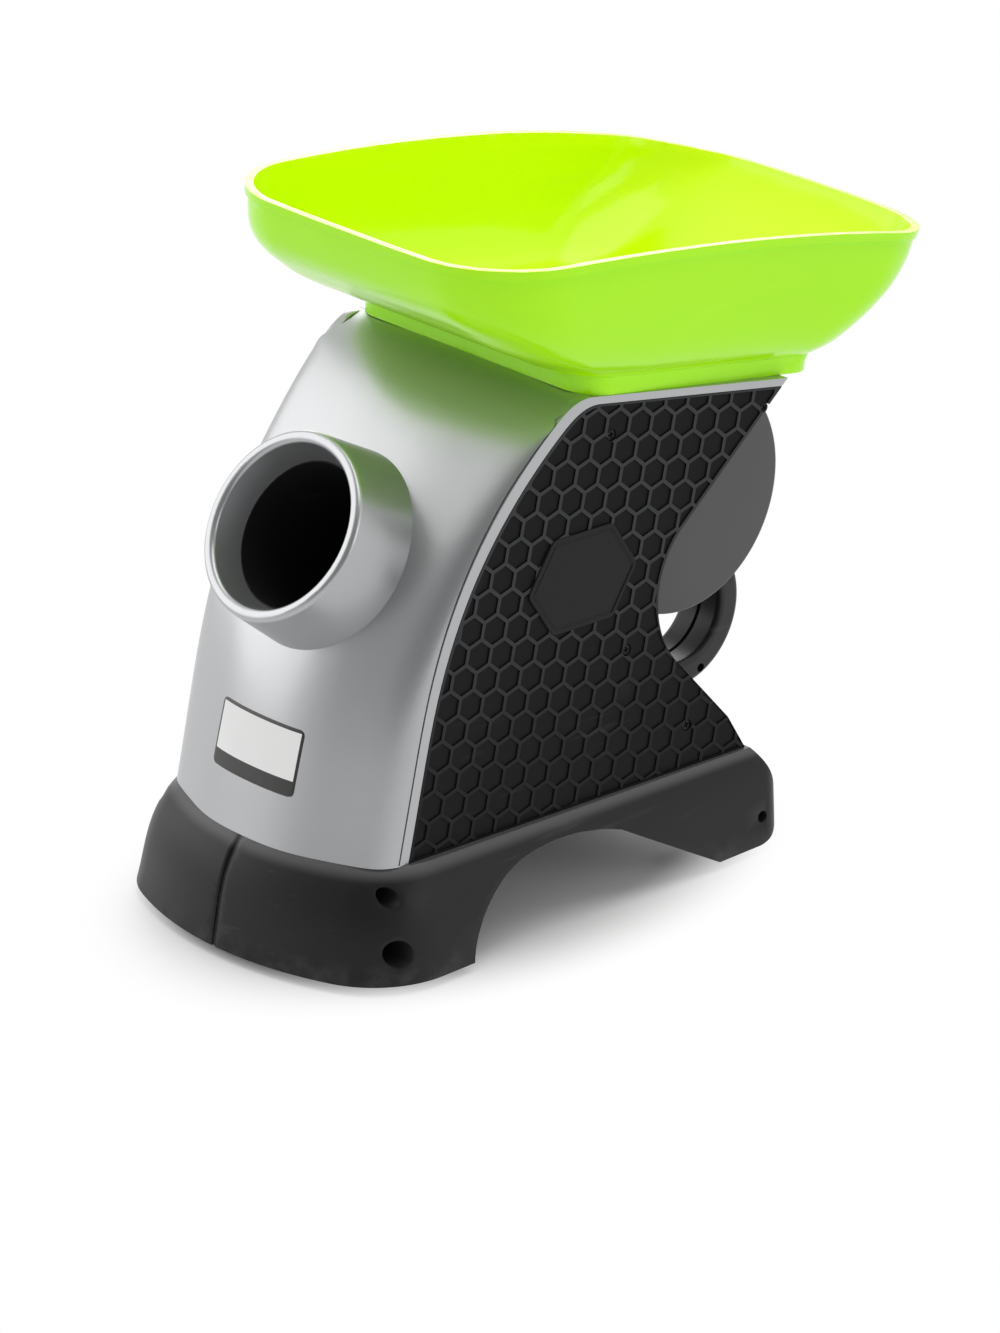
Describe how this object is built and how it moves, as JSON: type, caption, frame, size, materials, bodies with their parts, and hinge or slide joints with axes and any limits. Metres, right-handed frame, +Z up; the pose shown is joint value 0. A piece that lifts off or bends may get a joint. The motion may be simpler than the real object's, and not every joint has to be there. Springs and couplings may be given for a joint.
{
  "type": "automatic ball launcher",
  "caption": "Ball thrower for dogs: a tray feeds balls through a drum to a leaning muzzle, on a body with an arched base and a carrying handle",
  "frame": {"origin": "On the floor, under the middle of the whole part's box", "axes": "+Z up, -Y towards the muzzle, +X to the right seen from behind the muzzle"},
  "size_m": [0.2224, 0.4247, 0.3635],
  "materials": {
    "tray_green": "glossy moulded plastic",
    "silver_plastic": "satin silver paint on moulded plastic",
    "panel_black": "satin black moulded plastic",
    "drum_grey": "satin dark grey moulded plastic",
    "handle_black": "satin black moulded plastic",
    "base_black": "finely textured black moulded plastic",
    "barrel_black": "matt black moulded plastic",
    "foot_rubber": "matt black rubber",
    "gear_white": "natural acetal",
    "bush_brass": "sintered bronze",
    "steel": "plain steel",
    "motor_can": "zinc plated steel",
    "screw_steel": "black oxide",
    "cell_wrap": "plain wrap",
    "board_green": "solder mask",
    "button_grey": "satin moulded plastic"
  },
  "bodies": {
    "root": {"ball_chute": "barrel_black", "base_screws": "screw_steel", "battery_box": "base_black", "battery_cells": "cell_wrap", "battery_contacts": "steel", "battery_door": "base_black", "circuit_board": "board_green", "dc_jack": "barrel_black", "feed_bushes": "bush_brass", "feed_motor": "motor_can", "feed_motor_bracket": "steel", "front_shell": "silver_plastic", "handle_screws": "screw_steel", "hopper": "tray_green", "launch_barrel": "barrel_black", "left_base_half": "base_black", "left_drum_cover": "drum_grey", "left_handle_half": "handle_black", "left_rear_shell": "panel_black", "left_side_frame": "silver_plastic", "left_side_panel": "panel_black", "left_wheel_motor": "motor_can", "nozzle": "silver_plastic", "panel_screws": "screw_steel", "right_base_half": "base_black", "right_drum_cover": "drum_grey", "right_handle_half": "handle_black", "right_rear_shell": "panel_black", "right_side_frame": "silver_plastic", "right_side_panel": "panel_black", "right_wheel_motor": "motor_can", "rubber_feet": "foot_rubber"},
    "feed_rotor": {"feed_rotor": "gear_white", "feed_gear": "gear_white"},
    "feed_pinion": {"feed_pinion": "gear_white", "feed_pinion_shaft": "steel"},
    "left_wheel": {"left_wheel_tyre": "foot_rubber", "left_wheel_hub": "gear_white", "left_wheel_shaft": "steel"},
    "right_wheel": {"right_wheel_tyre": "foot_rubber", "right_wheel_hub": "gear_white", "right_wheel_shaft": "steel"},
    "power_button": {"power_button": "button_grey"},
    "distance_button": {"distance_button": "button_grey"}
  },
  "joints": [
    {"name": "feed_rotor_spin", "type": "hinge", "parent": "root", "child": "feed_rotor", "pos_m": [0, 0.0685, 0.1879], "axis": [1, 0, 0], "continuous": true},
    {"name": "feed_pinion_spin", "type": "hinge", "parent": "root", "child": "feed_pinion", "pos_m": [0.0385, 0.00753, 0.2231], "axis": [1, 0, 0], "continuous": true},
    {"name": "left_wheel_spin", "type": "hinge", "parent": "root", "child": "left_wheel", "pos_m": [-0.0545, -0.06471, 0.1528], "axis": [0, 0.5592, 0.829], "continuous": true},
    {"name": "right_wheel_spin", "type": "hinge", "parent": "root", "child": "right_wheel", "pos_m": [0.0545, -0.06471, 0.1528], "axis": [0, 0.5592, 0.829], "continuous": true},
    {"name": "power_button_press", "type": "slide", "parent": "root", "child": "power_button", "axis": [0, -0.7522, -0.659], "range_m": [0, 0.0015], "stiffness_N_per_m": 400},
    {"name": "distance_button_press", "type": "slide", "parent": "root", "child": "distance_button", "axis": [0, -0.7522, -0.659], "range_m": [0, 0.0015], "stiffness_N_per_m": 400}
  ],
  "couplings": [
    {"joint": "feed_pinion_spin", "follows": "feed_rotor_spin", "ratio": -4.3333}
  ]
}
